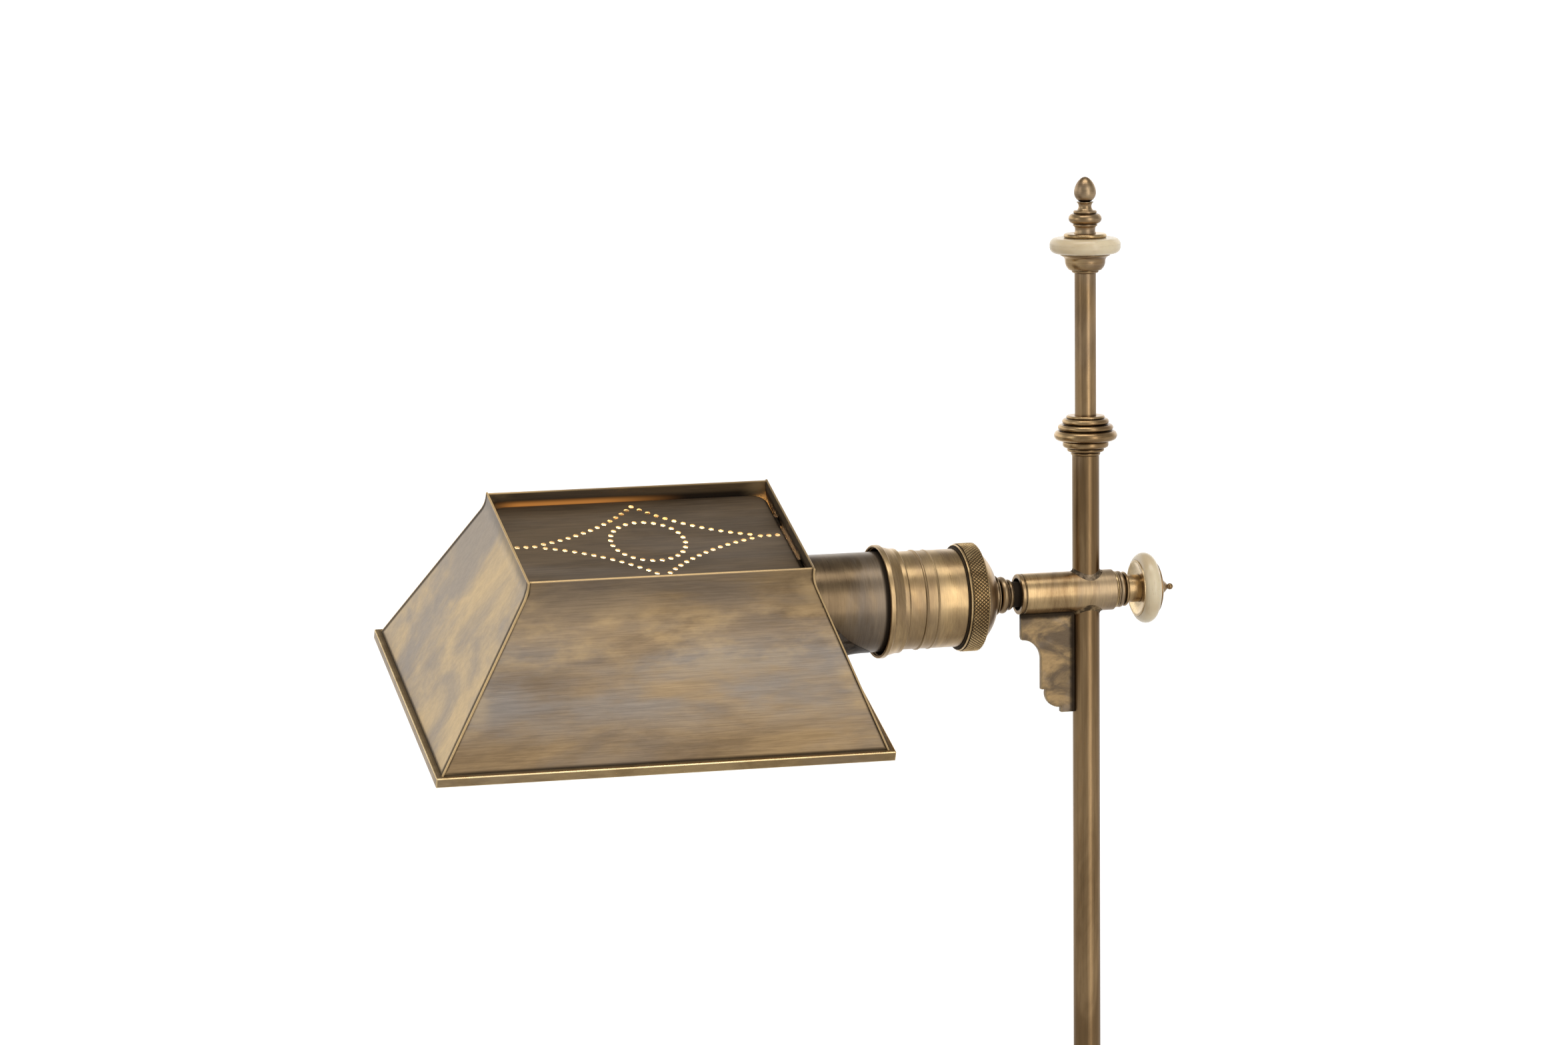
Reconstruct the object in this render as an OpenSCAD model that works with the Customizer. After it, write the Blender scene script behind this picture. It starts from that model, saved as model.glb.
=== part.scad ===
// Antique brass floor lamp: a punched, four-sided shade on a turned lampholder that tilts in a
// cross sleeve, under a turned spire, on a mast that slides and turns in a weighted base.
// Millimetres. The origin is on the floor under the mast, +Z up. The shade reaches along -X,
// the tilt knob points along +X, and the front of the shade faces -Y.

/* [Mast] */
// Height of the arm's axis above the floor, as set
arm_h = 1160; // [1080:10:1240]
// Outside diameter of the mast tube
mast_d = 12.7; // [12:0.1:13.4]
// Wall of the mast tube and of the lower tube
tube_wall = 1; // [0.8:0.05:1.1]
// Length of mast tube held inside the lower tube, as set
mast_insert = 260; // [240:10:320]
// Height of the mast above the arm's axis, up to the collar
upper_len = 63.8; // [50:0.2:80]
// Diameter of the spire rod
rod_d = 10; // [9:0.2:11]
// Length of spire rod that shows
rod_len = 66.5; // [40:0.5:90]

/* [Cross sleeve] */
// Outside diameter of the sleeve
sleeve_d = 19; // [18.4:0.1:20]
// Reach of the sleeve to the left of the mast's axis
sleeve_left = 34; // [30:0.5:38]
// Reach of the sleeve to the right of the mast's axis
sleeve_right = 12.5; // [12:0.25:16]
// Diameter of the hollow shaft that turns in the sleeve
shaft_d = 12.9; // [12.5:0.1:13.2]
// Bore of the hollow shaft, for the lead
shaft_bore = 5; // [4.8:0.1:6]
// Diameter of the shaft's threaded ends
stud_d = 8; // [7.5:0.1:8.5]
// Depth of the counterbore in the sleeve's open mouth
mouth_depth = 4; // [3:0.25:5]
// Thickness of the friction washers
washer_t = 1; // [0.8:0.1:1.4]
// Thickness of the bracket plate
bracket_t = 3.2; // [2.6:0.2:4.4]

/* [Shade] */
// Distance from the mast's axis to the middle of the shade
shade_reach = 215; // [206:0.5:230]
// Length of the rim
rim_l = 215.4; // [206:0.2:222]
// Width of the rim
rim_w = 131.7; // [122:0.1:140]
// Length of the shade's top
top_l = 133.8; // [128:0.2:142]
// Width of the shade's top
top_w = 81.2; // [74:0.2:88]
// Height of the shade's top edge above the arm's axis
top_z = 44.2; // [40:0.2:48]
// Depth of the rim's upper face below the arm's axis
rim_z = 40.6; // [36:0.2:46]
// Height of the rim bar
rim_h = 4.8; // [3.6:0.2:7]
// Ledge by which the rim stands proud of the walls
rim_ledge = 2.8; // [2:0.1:4]
// Thickness of the sheet brass
sheet = 1; // [0.8:0.1:1.3]
// Height of the upright lip round the top
lip_h = 5.8; // [4:0.2:7]
// Depth of the punched panel below the top edge
panel_drop = 6.2; // [5.6:0.2:10]
// Thickness of the punched panel
panel_t = 0.6; // [0.5:0.1:1]
// Depth of the panel's turned-down flange
panel_flange = 4; // [3:0.5:6]
// Radius of the panel's corners
panel_corner = 7; // [5:0.5:10]
// Light gap between the panel and the walls
panel_gap = 0.9; // [0.6:0.1:1.2]
// Width by which the end walls stand proud of the long walls at the hips
hip_lap = 0.9; // [0.6:0.1:1.4]
// Tilt of the shade from level, as set
rest_tilt = 22.5; // [0:0.5:40]
// Outside diameter of the tube that carries the shade
shade_tube_d = 46.5; // [46:0.1:47]

/* [Punched pattern] */
// Diameter of the punched holes
punch_d = 2.4; // [1.8:0.1:2.8]
// Half length of the diamond, to where its sides would meet
diamond_l = 56.2; // [54:0.2:57]
// Half width of the diamond
diamond_w = 31.7; // [29:0.1:32.5]
// Inward bow of the diamond's sides
diamond_bow = 5.2; // [3:0.2:6]
// Holes along each side of the diamond, between its corners
diamond_n = 13; // [11:1:14]
// Radius of the ring of holes
ring_r = 17.2; // [16:0.2:18]
// Number of holes in the ring
ring_n = 24; // [20:1:26]
// Spacing of the holes in the two tails
tail_pitch = 4.1; // [3.8:0.1:4.2]

/* [Lampholder] */
// Diameter of the holder's shell
shell_d = 45.5; // [45.2:0.1:46.2]
// Length of the shell between the cup and the knurled ring
shell_l = 29.8; // [26:0.1:34]
// Length of the cup that takes the shade's tube
cup_l = 8.8; // [5.4:0.2:10]
// Outside diameter of the cup's rolled lip
lip_d = 52.6; // [52.2:0.1:54]
// Diameter over the knurl
knurl_d = 50.6; // [49.6:0.1:52]
// Width of the knurled ring
knurl_l = 9.9; // [7:0.1:11]
// Number of knurl points round the ring
knurl_n = 90; // [60:2:96]
// Depth of the knurl
knurl_depth = 0.7; // [0.4:0.05:0.8]
// Length of the domed cap behind the knurled ring
cap_l = 8.7; // [7:0.1:16]
// Length of the beaded neck between the cap and the sleeve
neck_l = 8.8; // [8.4:0.2:12]
// Gap between the neck's beads and the mouth of the sleeve
neck_gap = 3.4; // [1:0.2:4]
// Wall of the spun holder pieces
spun_wall = 1; // [0.8:0.1:1.2]
// Diameter of the glass of the tubular bulb
bulb_d = 32; // [28:0.5:36]
// Length of the bulb's glass
bulb_l = 122; // [100:1:130]

/* [Rings, knob and finial] */
// Diameter of the bone rings
bone_d = 33; // [32:0.2:35]
// Thickness of the knob's bone ring
bone_t = 7.8; // [7:0.2:9]
// Thickness of the bone ring under the finial
finial_bone_t = 7.2; // [6.6:0.2:9]
// Diameter of the knob's polished dish
dish_d = 26; // [25:0.2:28]
// Diameter of the knob's domed cap
knob_cap_d = 24; // [22:0.2:26]

/* [Base] */
// Diameter of the base
base_d = 250; // [230:5:290]
// Height of the base's upright rim
base_rim = 16; // [15:0.5:22]
// Thickness of the felt pad
felt_t = 3; // [2:0.5:4]
// Thickness of the spun base cover
cover_t = 1.6; // [1.2:0.1:2]
// Outside diameter of the lower tube
lower_d = 16; // [15.8:0.1:16.8]
// Height of the top of the lower tube above the floor
lower_top = 700; // [620:10:740]
// Diameter of the hole for the supply cord in the gland
cord_d = 7; // [6:0.25:8]

/* [Clearances] */
// Radial running clearance of shafts, pins and sliding tubes
fit = 0.05; // [0.03:0.01:0.08]
// Gap between faces that pass each other
pass_gap = 0.3; // [0.2:0.05:0.4]

/* [Hidden] */
$fn = 96;
brass = "darkgoldenrod";
dark_brass = "#6b5430";
bright_brass = "#b98f4d";
bone = "#e6d8b8";
iron = "#46443f";

// Stations along the arm, from the mast's axis to the left
mouth_x = -sleeve_left;
neck_right = mouth_x - neck_gap;
neck_left = neck_right - neck_l;
cap_left = neck_left - cap_l;
knurl_left = cap_left - knurl_l;
cup_right = knurl_left - shell_l;
cup_left = cup_right - cup_l;

// Shaft, washers and bores
shaft_r = shaft_d / 2;
stud_r = stud_d / 2;
mouth_floor = mouth_x + mouth_depth;
mouth_r = shaft_r + 0.9;
spigot_r = shaft_r - 0.5;
spigot_end = mouth_floor - washer_t - fit;
pipe_end = neck_left - 7;
shaft_right = sleeve_right - 0.5;
lead_d = 4.4;
bore_end = 4;
slot_w = 7;
wire_hole = 8;
stop_d = 3;
stop_x = 8.2;
stop_groove = 1.3;
stop_sweep = 212;

// Knob, from the sleeve's right end to its tip
knob_x = sleeve_right + fit + 1.5;
dish_x = knob_x + 10.6;
dish_t = 2;
shank_r = 6.4;
bone_x = dish_x + 0.4;
knob_cap_x = bone_x + bone_t;
knob_stud = knob_cap_x - bone_t / 2;

// Heights along the mast
mast_r = mast_d / 2;
mast_bore = mast_r - tube_wall;
mast_foot = lower_top - mast_insert;
rod_r = rod_d / 2;
rod_stud = 2.5;
collar_z = arm_h + upper_len;
collar_rings = [[6.9, 1.8], [8.7, 1.9], [10.7, 3.4, 1.3], [14.7, 4.6], [12.9, 2.8], [10.9, 2.8], [9, 1.4]];
rod_z = collar_z + stack_h(collar_rings);
cup_h = 9.1;
cup_z = rod_z + rod_len;
bone_z = cup_z + cup_h;
bone_washer_z = bone_z + finial_bone_t;
finial_z = bone_washer_z + 2;
rod_sink = 12;
spigot_sink = 10;

// Shade, about its own middle on the arm's axis
lip_z = top_z - lip_h;
shade_foot = -rim_z - rim_h;
foot_l = rim_l - 2 * rim_ledge;
foot_w = rim_w - 2 * rim_ledge;
panel_z = top_z - panel_drop;
panel_bend = 0.48 * panel_flange;
panel_edge = panel_z - panel_flange;
run = lip_z + rim_z;
slope_l = (foot_l - top_l) / 2 / run;
slope_w = (foot_w - top_w) / 2 / run;
panel_l = 2 * (half_l(panel_z) - sheet - panel_gap);
panel_w = 2 * (half_w(panel_z) - sheet - panel_gap);
diamond_start = 0.12;
tail_start = diamond_l - 3.2;
pattern_shift = 0.8;
shade_tube_r = shade_tube_d / 2;
shade_tube_end = cup_right - fit;

// Lampholder
shell_r = shell_d / 2;
shell_end = knurl_left + knurl_l * 0.45;
insulator_r = shell_r - spun_wall - fit;
socket_floor = knurl_left - 3;
screw_r = 14.2;
screw_wall = 0.6;
contact_t = 1.2;
ring_bore = shell_r + fit;
bulb_tip = socket_floor - contact_t - fit;
bulb_seat = bulb_tip - 23;
bulb_cap_r = screw_r - screw_wall - fit - 0.2;
bulb_wall = 1;
cap_face = 2;
cap_eye = 9;

// Lower mast and base
lower_r = lower_d / 2;
lower_bore = lower_r - tube_wall;
gland_grip = 12;
bush_h = 10;
journal_r = mast_bore - 0.9;
journal_h = 20;
plug_sink = 12;
clip_t = 1.2;
base_r = base_d / 2;
rim_top = felt_t + base_rim;
shoulder = 6;
cone_z = rim_top + shoulder;
bead_r = 62;
bead_z = cone_z + 4;
bead_h = 4;
crown_r = 26;
crown_z = bead_z + bead_h + 10;
cavity_z = crown_z - 2 * cover_t;
neck_z = crown_z + 4;
socket_rings = [[22, 4], [18, 6, 1.5], [20, 3], [15, 12, 1], [13, 4], [11.5, 3]];
socket_grip = 22;
nipple_r = 5;
weight_r = base_r - cover_t - 2.4;
weight_top = rim_top - 1;
nut_h = 6;
cord_z = felt_t + base_rim / 2;
screw_z = lower_top + bush_h / 2;
screw_r_lock = 2;

// Total height of a stack of rings given as [radius, thickness]
function stack_h(rings, n = -1) =
    let (count = n < 0 ? len(rings) : n)
    count == 0 ? 0 : rings[count - 1][1] + stack_h(rings, count - 1);
// Half length and half width of the shade's outside at a height about the arm's axis
function half_l(z) = top_l / 2 + max(0, lip_z - z) * slope_l;
function half_w(z) = top_w / 2 + max(0, lip_z - z) * slope_w;

// Profiles are drawn as radius against distance along the axis
module turned_arm(x) translate([x, 0, arm_h]) rotate([0, 90, 0]) rotate_extrude() children();
module turned_mast(z) translate([0, 0, z]) rotate_extrude() children();
module band(r0, r1, y0, y1) translate([r0, y0]) square([r1 - r0, y1 - y0]);
// A ring h thick whose edge is fully round, or rounded to the radius edge
module round_disc(r, h, y, edge = 0) {
    e = edge > 0 ? edge : h / 2;
    band(0, r - e, y, y + h);
    for (c = edge > 0 ? [e, h - e] : [e]) translate([r - e, y + c]) circle(r = e);
    if (edge > 0) band(0, r, y + e, y + h - e);
}
module ring_stack(rings) {
    for (i = [0 : len(rings) - 1])
        round_disc(rings[i][0], rings[i][1], stack_h(rings, i), len(rings[i]) > 2 ? rings[i][2] : 0);
}
module arm_pin(r, x0, x1) translate([x0, 0, arm_h]) rotate([0, 90, 0]) cylinder(r = r, h = x1 - x0);
module mast_pin(r, z0, z1) translate([0, 0, z0]) cylinder(r = r, h = z1 - z0);
module at_shade() translate([-shade_reach, 0, arm_h]) rotate([rest_tilt, 0, 0]) children();

// Solid of the shade's outside, drawn in by dl at each end and dw at each long side
module shade_block(dl, dw) {
    hull() for (z = [shade_foot, lip_z])
        translate([-half_l(z) + dl, -half_w(z) + dw, z - (z == lip_z ? 0.01 : 0)])
            cube([2 * (half_l(z) - dl), 2 * (half_w(z) - dw), 0.01]);
    translate([-top_l / 2 + dl, -top_w / 2 + dw, lip_z - 0.01])
        cube([top_l - 2 * dl, top_w - 2 * dw, lip_h + 0.01]);
}
module shade_long_wall(side) {
    intersection() {
        difference() {
            shade_block(sheet, 0);
            shade_block(0, sheet);
        }
        translate([-rim_l, side < 0 ? -rim_w : 0, -rim_l]) cube([2 * rim_l, rim_w, 2 * rim_l]);
    }
}
module shade_end_wall(side) {
    intersection() {
        difference() {
            shade_block(0, -hip_lap);
            shade_block(sheet, -2 * hip_lap);
        }
        translate([side < 0 ? -rim_l : 0, -rim_w, -rim_l]) cube([rim_l, 2 * rim_w, 2 * rim_l]);
    }
}
module shade_front() color(brass) at_shade() shade_long_wall(-1);
module shade_back() color(brass) at_shade() shade_long_wall(1);
module shade_outer_end() color(brass) at_shade() shade_end_wall(-1);
// The bulb passes through this wall, and the tube is soldered round the hole
module shade_inner_end() color(brass) difference() {
    at_shade() shade_end_wall(1);
    arm_pin(shade_tube_r - sheet, -shade_reach, cup_right);
}
module shade_rim() color(bright_brass) at_shade() difference() {
    translate([-rim_l / 2, -rim_w / 2, shade_foot]) cube([rim_l, rim_w, rim_h]);
    shade_block(0, 0);
    intersection() {
        shade_block(0, -hip_lap);
        difference() {
            translate([-rim_l, -rim_w, -rim_l]) cube([2 * rim_l, 2 * rim_w, 2 * rim_l]);
            shade_block(sheet, -rim_w);
        }
    }
}

// The outside of a pressed tray: corners of radius c, and a top edge bent down to the radius bend
module tray_block(l, w, c, bend, h) hull() for (sx = [-1, 1], sy = [-1, 1])
    translate([sx * (l / 2 - c), sy * (w / 2 - c)]) rotate_extrude($fn = 32) {
        band(0, c, 0, h - bend);
        intersection() {
            translate([c - bend, h - bend]) circle(r = bend, $fn = 24);
            band(0, c, 0, h);
        }
    }
// Points on one side of the diamond: an arc bowed towards the middle, from end to tip
function bow_radius() =
    let (half = norm([diamond_l, diamond_w]) / 2)
    (half * half + diamond_bow * diamond_bow) / (2 * diamond_bow);
function bow_point(t) =
    let (r = bow_radius(),
         out = [diamond_w, diamond_l] / norm([diamond_l, diamond_w]),
         centre = [diamond_l, diamond_w] / 2 + out * (r - diamond_bow),
         half_angle = asin(norm([diamond_l, diamond_w]) / 2 / r),
         middle = atan2(-out[1], -out[0]),
         angle = middle + half_angle * (1 - 2 * t))
    centre + r * [cos(angle), sin(angle)];
module punched_holes() translate([0, pattern_shift]) {
    for (sx = [-1, 1], sy = [-1, 1], i = [0 : diamond_n - 1]) {
        place = bow_point(diamond_start + (1 - diamond_start) * i / diamond_n);
        translate([sx * place[0], sy * place[1]]) punch();
    }
    for (sy = [-1, 1]) translate([0, sy * diamond_w]) punch();
    for (sx = [-1, 1], i = [0 : 2]) translate([sx * (tail_start + i * tail_pitch), 0]) punch();
    for (i = [0 : ring_n - 1]) rotate(360 * (i + 0.5) / ring_n) translate([ring_r, 0]) punch();
}
module punch() translate([0, 0, -panel_t]) cylinder(d = punch_d, h = 3 * panel_t);
// A pressed tray with its rim turned down, punched with a diamond round a ring
module punched_panel() color(dark_brass) at_shade() translate([0, 0, panel_edge]) difference() {
    tray_block(panel_l, panel_w, panel_corner, panel_bend, panel_flange);
    translate([0, 0, -panel_t]) tray_block(panel_l - 2 * panel_t, panel_w - 2 * panel_t,
                                           panel_corner - panel_t, panel_bend - panel_t, panel_flange);
    translate([0, 0, panel_flange - panel_t]) punched_holes();
}
// Tabs soldered to the end walls, on which the panel rests
module panel_clips() color(dark_brass) at_shade() intersection() {
    shade_block(sheet, sheet);
    for (sx = [-1, 1], sy = [-1, 1])
        translate([sx * panel_l / 2 - 6, sy * panel_w / 4 - 4, panel_edge - 1.2]) cube([12, 8, 1.2]);
}
module shade_tube() color(dark_brass) difference() {
    arm_pin(shade_tube_r, -shade_reach + top_l / 4, shade_tube_end);
    arm_pin(shade_tube_r - sheet, -shade_reach, 0);
    at_shade() shade_block(0, 0);
}

// The shell is one spinning: a flared cup with a broad rolled lip, a step, and three turned beads
module holder_shell() color(brass) turned_arm(0) {
    roll = 0.6;
    lip_w = 2.8;
    lip_r = lip_d / 2 - roll;
    flare = lip_r + roll / 3;
    flare_x = cup_left + lip_w / 2;
    step_r = shade_tube_r + fit + spun_wall;
    polygon([[shell_r - spun_wall, shell_end], [shell_r - spun_wall, cup_right],
             [step_r - spun_wall, cup_right], [step_r - spun_wall, cup_right - 1],
             [flare - spun_wall, flare_x], [flare, flare_x], [step_r, cup_right - 1],
             [step_r, cup_right + spun_wall], [shell_r, cup_right + spun_wall], [shell_r, shell_end]]);
    band(lip_r - roll, lip_r + roll, cup_left + roll, cup_left + lip_w - roll);
    for (x = [roll, lip_w - roll]) translate([lip_r, cup_left + x]) circle(r = roll);
    for (bead = [[1, 0.8], [9.9, 0.6], [15.6, 0.4]])
        translate([shell_r - 0.05, cup_right + bead[0]]) circle(r = bead[1]);
}
// Diamond knurl: rows of points and hollows alternate round the band and along it
module knurl_band(r, bore, y0, y1) {
    rows = round(2 * knurl_n * (y1 - y0) / (2 * PI * r) * 0.9);
    around = 2 * knurl_n;
    outer = [for (j = [0 : rows], k = [0 : around - 1])
        let (rr = (k + j) % 2 == 0 ? r - knurl_depth : r)
        [rr * cos(360 * k / around), rr * sin(360 * k / around), y0 + (y1 - y0) * j / rows]];
    inner = [for (y = [y0, y1], k = [0 : around - 1])
        [bore * cos(360 * k / around), bore * sin(360 * k / around), y]];
    base = (rows + 1) * around;
    skin = [for (j = [0 : rows - 1], k = [0 : around - 1])
        let (a = j * around + k, b = j * around + (k + 1) % around, c = b + around, d = a + around)
        each (k + j) % 2 == 0 ? [[a, c, b], [a, d, c]] : [[a, d, b], [b, d, c]]];
    ends = [for (k = [0 : around - 1])
        let (n = (k + 1) % around, top = rows * around)
        each [[k, n, base + k], [n, base + n, base + k],
              [top + k, base + around + k, top + n], [top + n, base + around + k, base + around + n],
              [base + k, base + n, base + around + k],
              [base + n, base + around + n, base + around + k]]];
    polyhedron(points = concat(outer, inner), faces = concat(skin, ends));
}
module knurled_ring() color(bright_brass) {
    shoulder_l = 0.7;
    shoulder_r = ring_bore + 0.6;
    bead = 0.8;
    groove = 0.5;
    edge = 0.6;
    root = knurl_d / 2 - knurl_depth;
    sunk = 0.3;
    bead_x = knurl_left + shoulder_l;
    bead_c = root + 0.1 - bead / 2;
    edge_c = root + sunk - edge;
    edge_x = cap_left - edge;
    translate([0, 0, arm_h]) rotate([0, 90, 0])
        knurl_band(knurl_d / 2, root - 2 * sunk, bead_x + bead + groove, edge_x + sunk);
    turned_arm(0) {
        band(ring_bore, shoulder_r, knurl_left, cap_left);
        band(ring_bore, root - sunk, bead_x, edge_x);
        band(ring_bore, bead_c, bead_x, bead_x + bead);
        translate([bead_c, bead_x + bead / 2]) circle(d = bead);
        band(ring_bore, edge_c, edge_x, cap_left);
        intersection() {
            translate([edge_c, edge_x]) circle(r = edge);
            band(ring_bore, knurl_d, edge_x, cap_left);
        }
    }
}
// A domed spinning that closes the back of the holder, clamped by the knurled ring
module dome(r0, r1, y0, y1, crown) {
    half = norm([r1 - r0, y1 - y0]) / 2;
    reach = sqrt(crown * crown - half * half);
    across = [y0 - y1, r1 - r0] / (2 * half);
    intersection() {
        translate([(r0 + r1) / 2, (y0 + y1) / 2] + across * reach) circle(r = crown, $fn = 200);
        band(0, r1 + 2, y0, y1);
    }
}
module holder_cap() color(brass) turned_arm(0) {
    crown = 22;
    rim = shell_r - 0.4;
    difference() {
        mirror([0, 1]) dome(cap_eye, rim, -neck_left, -cap_left, crown);
        mirror([0, 1])
            dome(cap_eye - spun_wall, rim - spun_wall, -neck_left + cap_face, -cap_left + 0.01, crown);
        band(0, stud_r + fit, cap_left, 0);
    }
    band(shell_r - 2 * spun_wall, shell_r, shell_end, cap_left + 0.2);
}
module holder_insulator() color("ghostwhite") turned_arm(0) difference() {
    union() {
        band(0, insulator_r - 2, cup_right + 2, shell_end);
        band(0, insulator_r, shell_end - 3, shell_end);
    }
    band(0, screw_r + fit, cup_right, socket_floor);
    band(0, lead_d / 2 + fit, shell_end - 2, shell_end);
}
module screw_shell() color(bright_brass) turned_arm(0)
    band(screw_r - screw_wall, screw_r, cup_right + 3, socket_floor);
module centre_contact() color(bright_brass) turned_arm(0)
    band(0, 4, socket_floor - contact_t, socket_floor);
module bulb_cap() color("silver") turned_arm(0) difference() {
    polygon([[0, bulb_tip], [4.4, bulb_tip], [4.8, bulb_tip - 1.5], [bulb_cap_r - 1, bulb_tip - 5],
             [bulb_cap_r, bulb_tip - 6], [bulb_cap_r, bulb_seat], [0, bulb_seat]]);
    band(0, bulb_cap_r - 1.5, bulb_seat, bulb_tip - 6.5);
}
module bulb_glass() color("ivory") turned_arm(0) mirror([0, 1]) {
    r = bulb_d / 2;
    flare = 8;
    difference() {
        bulb_outline(r, bulb_cap_r, flare, 0);
        bulb_outline(r - bulb_wall, bulb_cap_r - bulb_wall, flare, bulb_wall);
    }
}
module bulb_outline(r, neck, flare, wall) {
    far = -bulb_seat + bulb_l - wall;
    near = -bulb_seat;
    polygon([[0, near], [neck, near], [r, near + flare], [r, far - r], [0, far - r]]);
    intersection() {
        translate([0, far - r]) circle(r = r);
        band(0, r, far - r, far);
    }
}

// The neck: a plain collar at the cap, a thin disc, a torus and a bead, and a plain spigot
module holder_neck() color(brass) turned_arm(0) difference() {
    core_r = 6.6;
    union() {
        band(0, 8.6, neck_left, neck_left + 1.4);
        round_disc(9.2, 0.7, neck_left + 1.1);
        round_disc(8.6, 3.8, neck_right - 6.2);
        round_disc(7.2, 2, neck_right - 2);
        band(0, core_r, neck_left, neck_right);
        band(0, spigot_r, neck_left, spigot_end);
    }
    band(0, stud_r + fit, neck_left - 1, spigot_end + 1);
}
module neck_nut() color(bright_brass) difference() {
    nut_t = 4;
    across_corners = 15;
    translate([neck_left - cap_face - fit - nut_t, 0, arm_h]) rotate([0, 90, 0])
        cylinder(d = across_corners, h = nut_t, $fn = 6);
    arm_pin(stud_r + fit, cap_left, 0);
}
// Hollow shaft: cut half away over the mast for the lead, and grooved for the stop screw
module tilt_shaft() color(dark_brass) difference() {
    turned_arm(0) {
        band(0, stud_r, pipe_end, knob_stud);
        band(0, shaft_r, mouth_floor, shaft_right);
    }
    arm_pin(shaft_bore / 2, pipe_end - 1, bore_end);
    translate([0, 0, arm_h]) rotate([rest_tilt, 0, 0]) {
        translate([-slot_w / 2, -shaft_d, -shaft_d]) cube([slot_w, 2 * shaft_d, shaft_d]);
        rotate([0, 90, 0]) rotate([0, 0, 90 - stop_sweep / 2]) rotate_extrude(angle = stop_sweep)
            band(shaft_r - stop_groove, shaft_r + 1, stop_x - stop_d / 2 - pass_gap,
                 stop_x + stop_d / 2 + pass_gap);
    }
}
module mouth_washer() color("saddlebrown") turned_arm(0)
    band(stud_r + fit, mouth_r - pass_gap, spigot_end, mouth_floor - fit);
module arm_lead() color("dimgray") arm_pin(lead_d / 2, shell_end - 2, bore_end - 1);

// Knob: a beaded shank, a polished dish, a bone ring and a domed cap with a tip, on the stud
module knob_washer() color(bright_brass) turned_arm(sleeve_right + fit) difference() {
    round_disc(8.7, 1.5, 0);
    band(0, stud_r + fit, -1, 2);
}
module knob_shank() color(brass) turned_arm(0) difference() {
    union() {
        band(0, 8.4, knob_x, knob_x + 0.6);
        round_disc(8.5, 2.6, knob_x + 0.6);
        round_disc(8.1, 1.4, knob_x + 3.8);
        band(0, shank_r, knob_x, dish_x + dish_t);
    }
    band(0, stud_r + fit, knob_x - 1, knob_stud);
}
module knob_dish() color(bright_brass) turned_arm(0) {
    hollow_r = 14;
    floor_t = 0.8;
    rim_t = 1;
    difference() {
        band(shank_r + fit, dish_d / 2, dish_x, dish_x + dish_t);
        intersection() {
            translate([shank_r, dish_x - hollow_r + dish_t - floor_t]) circle(r = hollow_r);
            band(0, dish_d / 2 - rim_t, dish_x - 1, dish_x + dish_t);
        }
    }
}
module knob_ring() color(bone) turned_arm(0) difference() {
    round_disc(bone_d / 2, bone_t, bone_x);
    band(0, dish_d / 2 + fit, bone_x - 1, dish_x + dish_t);
    band(0, stud_r + fit, bone_x, bone_x + bone_t + 1);
}
module knob_cap() color(brass) turned_arm(knob_cap_x) {
    crown = 26;
    edge = 1.2;
    collet = [3.6, 4.8];
    waist = [1.1, 7.4];
    ball_r = 1.5;
    ball_y = 8.7;
    dome_cap(knob_cap_d / 2, edge, crown);
    band(0, stud_r, knob_stud + fit - knob_cap_x, 1);
    band(0, collet[0], 1, collet[1]);
    polygon([[0, collet[1]], collet, waist, [waist[0], ball_y], [0, ball_y]]);
    intersection() {
        translate([0, ball_y]) circle(r = ball_r);
        band(0, ball_r, ball_y - ball_r, ball_y + ball_r);
    }
}
// A disc with a straight edge and a shallow crown
module dome_cap(r, edge, crown) {
    band(0, r, 0, edge);
    intersection() {
        translate([0, edge - sqrt(crown * crown - r * r)]) circle(r = crown, $fn = 200);
        band(0, r, edge, edge + crown);
    }
}

// The sleeve is brazed across the mast; its bore takes the shaft, its mouth the friction washer
module cross_sleeve() color(brass) difference() {
    turned_arm(0) difference() {
        union() {
            band(0, sleeve_d / 2, mouth_x + 2.4, sleeve_right);
            band(0, sleeve_d / 2 - 0.4, mouth_x, sleeve_right);
            round_disc(sleeve_d / 2, 2, mouth_x, 0.5);
        }
        band(0, shaft_r + fit, mouth_x - 1, sleeve_right + 1);
        band(0, mouth_r, mouth_x - 1, mouth_floor);
    }
    mast_pin(wire_hole / 2, arm_h - sleeve_d, arm_h);
    translate([stop_x, 0, arm_h]) rotate([-90, 0, 0]) cylinder(d = stop_d + 2 * fit, h = sleeve_d);
}
// Grub screw whose tip runs in the shaft's groove and stops the tilt
module stop_screw() color("gray") translate([stop_x, shaft_r - stop_groove + pass_gap, arm_h])
    rotate([-90, 0, 0]) cylinder(d = stop_d, h = sleeve_d / 2 - shaft_r + stop_groove - pass_gap);

// Corbel under the sleeve: a block, a cove, a straight, a quarter round and a foot
module corbel_outline() {
    depth = 21.6;
    cove = 9.5;
    shin = 22.6;
    shin_z = 45.3;
    toe_r = 6.8;
    toe_z = 54;
    heel = 13;
    heel_z = 56.5;
    nose = 1.5;
    block = sleeve_left - 1.6;
    translate([-block, -depth + nose]) square([block, depth - nose]);
    translate([-block + nose, -depth]) square([block - nose, depth]);
    translate([-block + nose, -depth + nose]) circle(r = nose);
    translate([-shin, -shin_z]) square([shin, shin_z]);
    difference() {
        translate([-shin - cove, -depth - cove]) square([cove, cove + 1]);
        translate([-shin - cove, -depth - cove]) circle(r = cove);
    }
    translate([-heel - 0.8, -toe_z + toe_r]) circle(r = toe_r);
    translate([-heel - 0.8, -toe_z]) square([heel, toe_z]);
    translate([-heel, -heel_z]) square([heel, heel_z]);
}
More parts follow.
